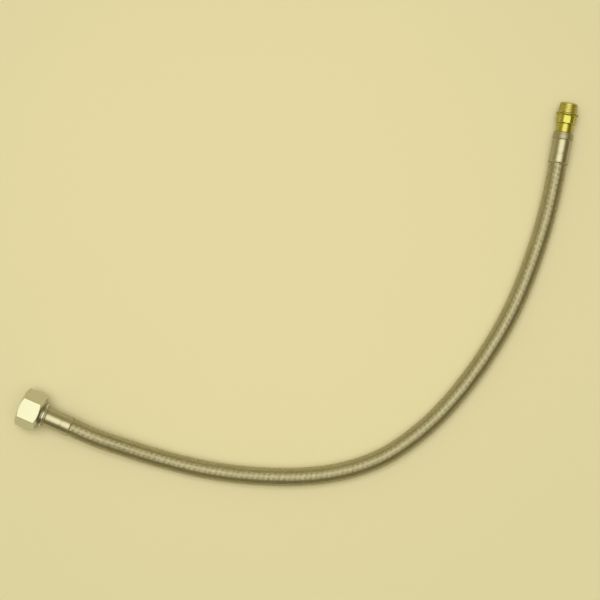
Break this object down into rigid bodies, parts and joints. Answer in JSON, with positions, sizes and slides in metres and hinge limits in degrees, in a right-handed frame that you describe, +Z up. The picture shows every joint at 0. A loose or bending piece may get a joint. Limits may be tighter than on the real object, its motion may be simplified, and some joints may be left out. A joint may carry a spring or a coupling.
{
  "type": "faucet supply hose",
  "caption": "Braided stainless supply hose lying in a long curve, with a hexagonal swivel nut and washer on one end and a turned brass male fitting on the other.",
  "frame": {"origin": "bottom centre of the box round the two end fittings, on the surface that the hose lies on", "axes": "seen from above, +X runs from the nut end to the male end, +Y from the hose's bend towards the male fitting's tip, +Z up"},
  "size_m": [0.3935, 0.2689, 0.024],
  "materials": {
    "stainless_braid": "woven bright wire",
    "tube_rubber": "matt",
    "ferrule_steel": "pressed, bright",
    "nickel_plate": "nickel plated",
    "fitting_brass": "turned, bright",
    "washer_rubber": "matt"
  },
  "bodies": {
    "hose": {"braided_sleeve": "stainless_braid", "inner_tube": "tube_rubber", "nut_end_ferrule": "ferrule_steel", "male_end_ferrule": "ferrule_steel", "nut_end_tail": "fitting_brass", "sealing_washer": "washer_rubber", "male_fitting": "fitting_brass"},
    "nut": {"swivel_nut": "nickel_plate"}
  },
  "joints": [
    {"name": "nut_swivel", "type": "hinge", "parent": "hose", "child": "nut", "pos_m": [-0.18266, -0.0995, 0.012], "axis": [-0.9178, 0.3971, 0], "continuous": true}
  ]
}
